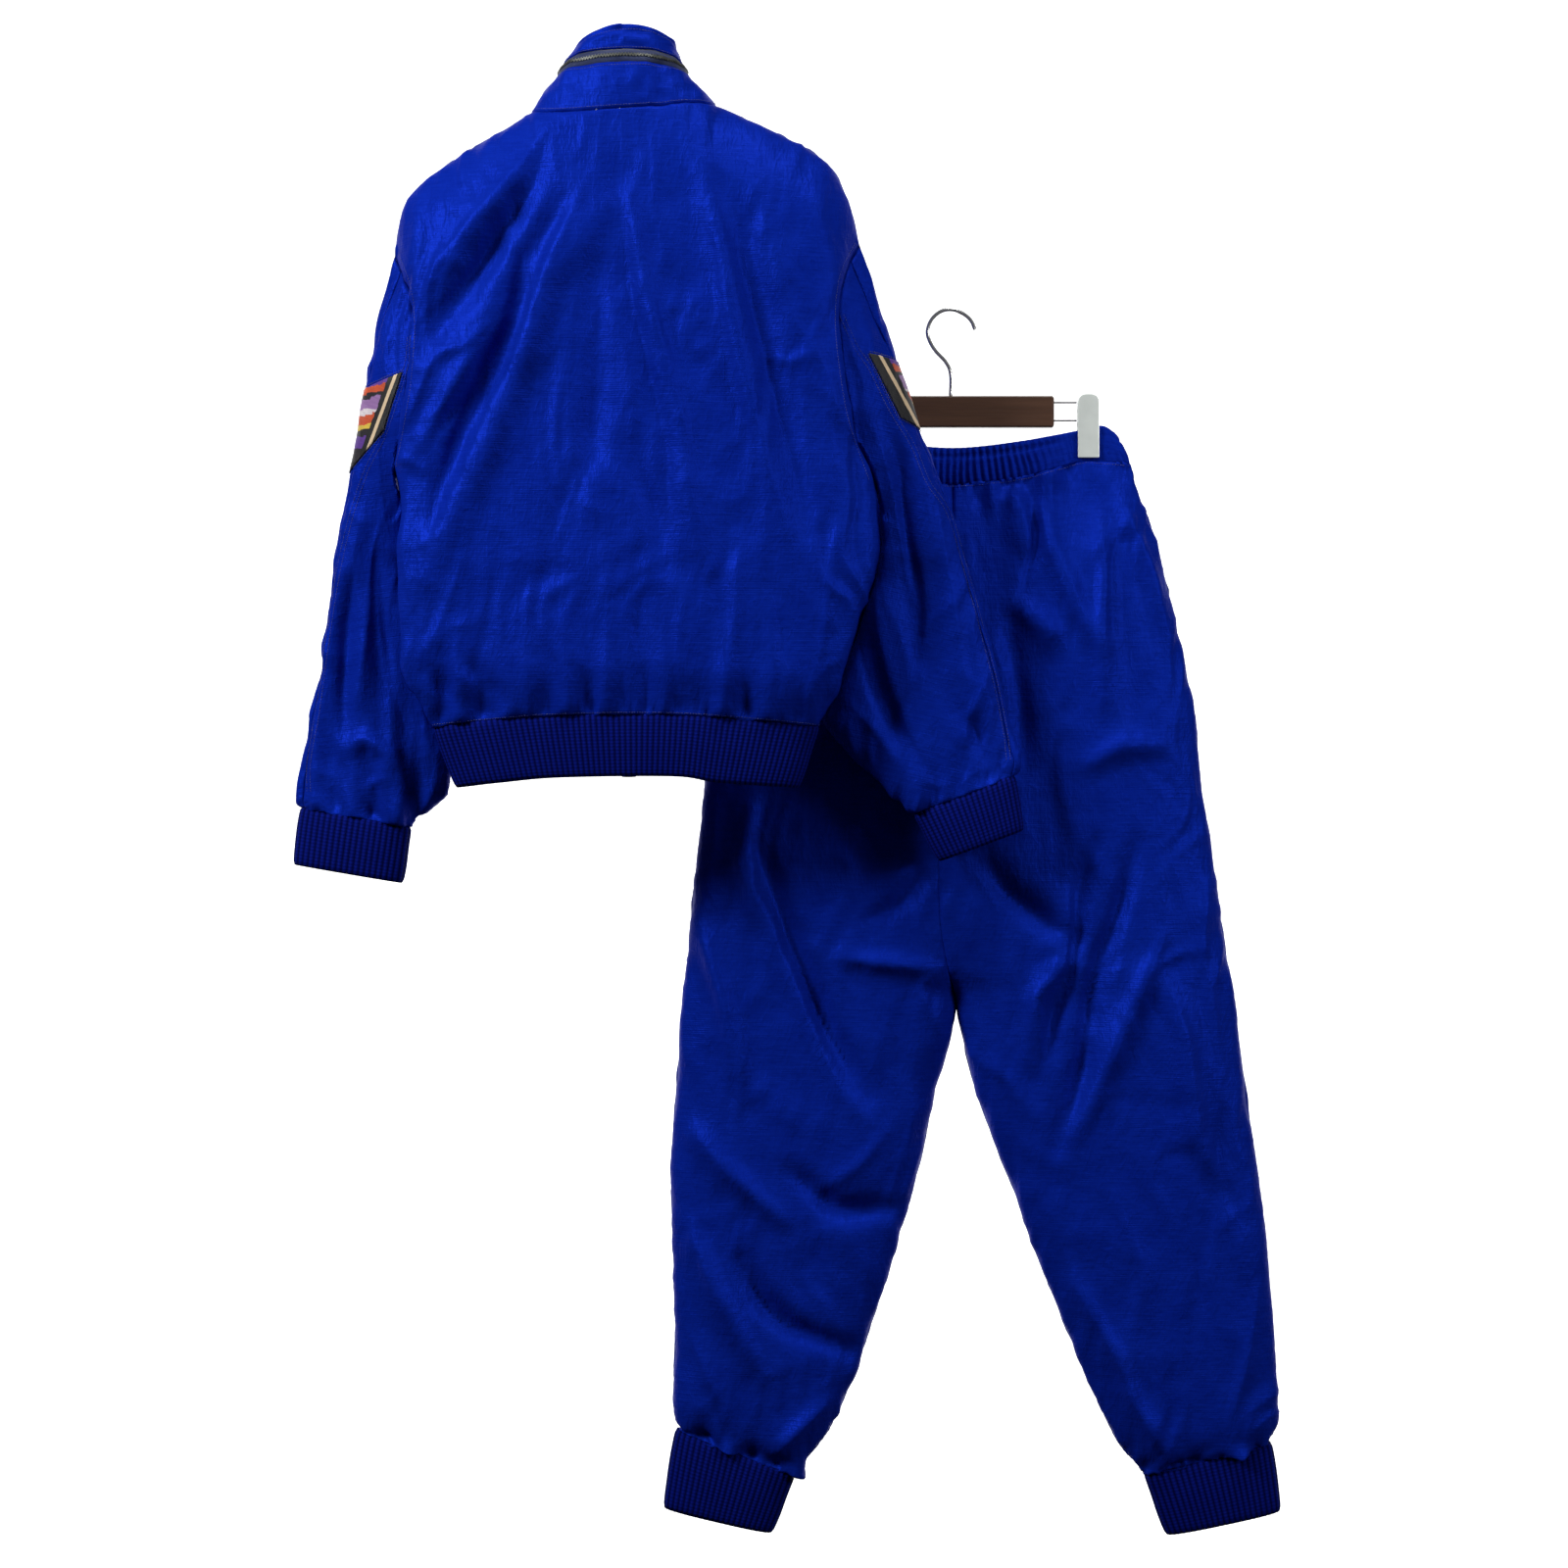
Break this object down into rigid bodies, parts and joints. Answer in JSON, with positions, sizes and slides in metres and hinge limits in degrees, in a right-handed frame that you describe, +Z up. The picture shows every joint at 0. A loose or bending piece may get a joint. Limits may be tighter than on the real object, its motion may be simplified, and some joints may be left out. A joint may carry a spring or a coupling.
{
  "type": "windbreaker tracksuit on a clip hanger and a coat hanger",
  "caption": "Zip-front windbreaker jacket with ribbed hem and cuffs, on a coat hanger, beside its gathered trousers on a clip hanger, seen from the back",
  "frame": {"origin": "the bearing point inside the top of the trousers' hanger hook, where a rail carries it", "axes": "+Z up, +X to the right as the picture shows it, and -Y the side of the garments' backs, which the picture shows"},
  "size_m": [0.9665, 0.2198, 1.4647],
  "materials": {
    "shell": "satin woven taffeta",
    "knit": "matte rib knit",
    "zip_tape": "woven tape with metal teeth",
    "print": "printed panel",
    "zip_metal": "satin nickel",
    "wood": "dark varnish",
    "hook": "polished",
    "steel": "brushed"
  },
  "bodies": {
    "root": {"jacket_back": "shell", "jacket_front_left": "shell", "jacket_front_right": "shell", "collar_lower": "shell", "collar_upper": "shell", "sleeve_left_back": "shell", "sleeve_left_front": "shell", "sleeve_right_back": "shell", "sleeve_right_front": "shell", "front_zip": "zip_tape", "collar_zip": "zip_tape", "front_zip_slider": "zip_metal", "collar_zip_slider": "zip_metal", "sleeve_patch_left": "print", "sleeve_patch_right": "print", "cuff_left": "knit", "cuff_right": "knit", "hem_rib": "knit", "jacket_hanger": "wood", "jacket_hanger_hook": "hook", "waistband": "shell", "trouser_back_left": "shell", "trouser_back_right": "shell", "trouser_front_left": "shell", "trouser_front_right": "shell", "ankle_cuff_left": "knit", "ankle_cuff_right": "knit", "trouser_hanger_bar": "wood", "trouser_hanger_hook": "hook", "trouser_hanger_rod_left_upper": "steel", "trouser_hanger_rod_left_lower": "steel", "trouser_hanger_rod_right_upper": "steel", "trouser_hanger_rod_right_lower": "steel", "trouser_clip_left": "steel", "trouser_clip_right": "steel"},
    "front_pull": {"front_zip_pull": "zip_metal"},
    "collar_pull": {"collar_zip_pull": "zip_metal"}
  },
  "joints": [
    {"name": "front_pull_hinge", "type": "hinge", "parent": "root", "child": "front_pull", "pos_m": [-0.31727, -0.07762, 0.21991], "axis": [0.9949, 0.0181, -0.0988], "range_deg": [0, 165]},
    {"name": "collar_pull_hinge", "type": "hinge", "parent": "root", "child": "collar_pull", "pos_m": [-0.27835, -0.08103, 0.19908], "axis": [0.3261, 0.0211, -0.9451], "range_deg": [0, 165]}
  ]
}
